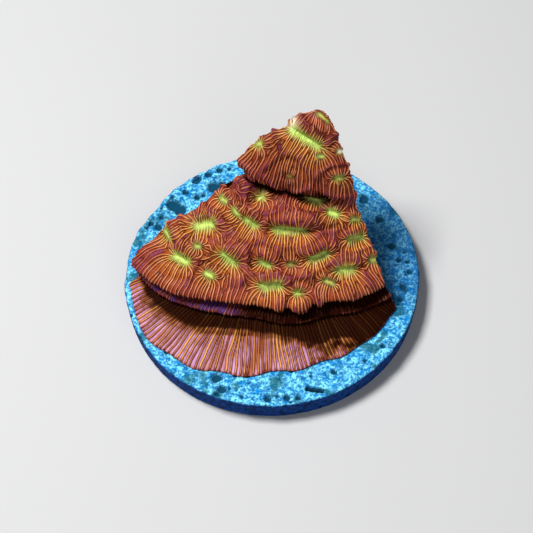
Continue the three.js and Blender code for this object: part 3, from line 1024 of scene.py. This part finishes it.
def make_disc(colony, finish):
    """The disc: a chipped rim, big pits, one slot, and pores of two sizes all over."""
    piece = fine_copy("frag_disc", "porous_disc", DISC_VOXEL)
    mesh = piece.data
    places = relaxed(mesh, positions(mesh), 2)
    radius = np.hypot(places[:, 0], places[:, 1])
    top = places[:, 2] > DISC_TOP - 0.25
    set_positions(mesh, places)
    direction = normals(mesh)
    # Sideways-facing wall, marked for painted shade.
    wall = smoothstep(0.75, 0.35, np.abs(direction[:, 2]))

    sunk = np.zeros(len(places))
    for x, y, size in PITS:
        gap = np.hypot(places[:, 0] - x, places[:, 1] - y)
        gap = gap * (1 + 0.3 * noise_at(places, 0.9, x))
        sunk = np.maximum(sunk, smoothstep(1.15, 0.6, gap / size) * top)
    turn = math.radians(SLOT_TURN)
    x, y = (places[:, :2] - SLOT_PLACE).T
    past_end = np.abs(x * math.cos(turn) + y * math.sin(turn)) - SLOT_LENGTH / 2
    past_side = np.abs(y * math.cos(turn) - x * math.sin(turn)) - SLOT_WIDTH / 2
    slot = smoothstep(0.1, -0.1, past_end) * smoothstep(0.1, -0.1, past_side) * top
    by_slot = (past_end < 0.5) & (past_side < 0.5) & top
    # The rim is chipped: most at the back left.
    azimuth = np.arctan2(places[:, 1], places[:, 0])
    chipped = smoothstep(0.9, 0.0, np.abs(azimuth - math.radians(140))) * 0.8 + 0.2
    chips = smoothstep(-0.6, 0.6, noise_at(places * [1, 1, 0.3], 1.5, 6)) * chipped
    inward = CHIP_DEPTH * chips * smoothstep(DISC_RADIUS - 1.2, DISC_RADIUS, radius)
    inward = inward * smoothstep(0.3, 1.0, places[:, 2])
    rough = -0.035 + 0.035 * noise_at(places, 0.6, 8)
    places = places + direction * (rough - PIT_SINK * sunk - SLOT_DEPTH * slot)[:, None]
    places[:, :2] -= places[:, :2] / np.maximum(radius, 1)[:, None] * inward[:, None]
    places[:, 2] = np.clip(places[:, 2], 0, DISC_TOP)
    set_positions(mesh, places)
    # Painted shade: the pits and the slot are marked dark inside.
    set_attribute(mesh, "pore", np.maximum(sunk * 0.85, 1.6 * slot))
    set_attribute(mesh, "wall", wall)
    # Painted shadow: the disc is drawn a deeper blue where the coral's shadow falls, on its right.
    across = [(azimuth_out, up) for azimuth_out in (165, 190, 215) for up in (22, 32, 42)]
    deep = np.zeros(len(places))
    deep[top] = blocked(colony, places[top] + [0, 0, 0.25], across, 24.0)
    set_attribute(mesh, "deep", 0.6 * smoothstep(0.0, 0.9, evened(mesh, deep, 3)))
    # Pores crowd together in some places and are few in others.
    crowd = 0.35 + 0.65 * smoothstep(-0.25, 0.3, noise_at(places, 3.2, 15))
    set_attribute(mesh, "allowed", crowd * (1.0 - by_slot))

    tree = pore_tree()
    for name, (spacing, smallest, largest, depth, darkness, seed) in PORES.items():
        run_tree(piece, name, tree, {
            "Spacing": spacing * MM, "Smallest": smallest * MM, "Largest": largest * MM,
            "Depth": depth * MM, "Darkness": darkness, "Seed": seed, "Material": finish,
        })
    bake_modifiers(piece)
    finish_piece(piece, "frag_disc")


# ---- Studio

def make_camera():
    tilt = math.radians(CAMERA_ELEVATION)
    roll = math.radians(CAMERA_ROLL)
    ahead = Vector((0, math.cos(tilt), -math.sin(tilt)))
    right, up = Vector((1, 0, 0)), Vector((0, math.sin(tilt), math.cos(tilt)))
    leaned_right = right * math.cos(roll) + up * math.sin(roll)
    leaned_up = up * math.cos(roll) - right * math.sin(roll)
    lens = bpy.data.cameras.new("camera")
    lens.sensor_width = SENSOR
    lens.lens = CAMERA_LENS
    lens.clip_start, lens.clip_end = 0.01, 10
    camera = bpy.data.objects.new("camera", lens)
    turned = Matrix((leaned_right, leaned_up, -ahead)).transposed().to_4x4()
    turned.translation = (Vector(CAMERA_TARGET) - ahead * CAMERA_DISTANCE) * MM
    camera.matrix_world = turned
    bpy.context.scene.collection.objects.link(camera)
    bpy.context.scene.camera = camera


def make_light(name, place, size, power, color):
    """A square soft box, aimed at the coral."""
    box = bpy.data.lights.new(name, "AREA")
    box.shape = "SQUARE"
    box.size = size * MM
    box.energy = power
    box.color = linear(color)[:3]
    lamp = bpy.data.objects.new(name, box)
    spot = Vector(place) * MM
    aim = Vector(LIGHT_AIM) * MM - spot
    lamp.location = spot
    lamp.rotation_euler = aim.to_track_quat("-Z", "Y").to_euler()
    bpy.context.scene.collection.objects.link(lamp)


def make_studio():
    floor_mesh = bpy.data.meshes.new("studio_floor")
    side = FLOOR_REACH * MM
    corners = [(-side, -side, 0), (side, -side, 0), (side, side, 0), (-side, side, 0)]
    floor_mesh.from_pydata(corners, [], [(0, 1, 2, 3)])
    floor_mesh.materials.append(painted_floor())
    new_piece("studio_floor", floor_mesh)
    for name, (place, size, power, color) in LIGHTS.items():
        make_light(name, place, size, power, color)
    world = bpy.data.worlds.new("studio")
    world.use_nodes = True
    world.node_tree.nodes["Background"].inputs[0].default_value = linear(SKY_COLOR)
    world.node_tree.nodes["Background"].inputs[1].default_value = SKY_STRENGTH
    bpy.context.scene.world = world
    bpy.context.scene.view_settings.view_transform = "Standard"


# ---- The object

make_camera()
make_studio()
body = fine_copy("coral_colony", "coral_body", CORAL_VOXEL)
colony = Colony(body)
shape_body(colony)
make_disc(colony, cast_ceramic())
ribs = trace_ribs(colony)
mark_between(colony, ribs)
body.data.materials.append(living_tissue())

sweep = rib_tree()
rib_finish = rib_tissue()
for name in ("cap_ribs", "plate_ribs", "skirt_ribs"):
    make_ribs(colony, ribs, name, sweep, rib_finish)
thin_out(body, BODY_SHARE)
finish_piece(body, "coral_colony")
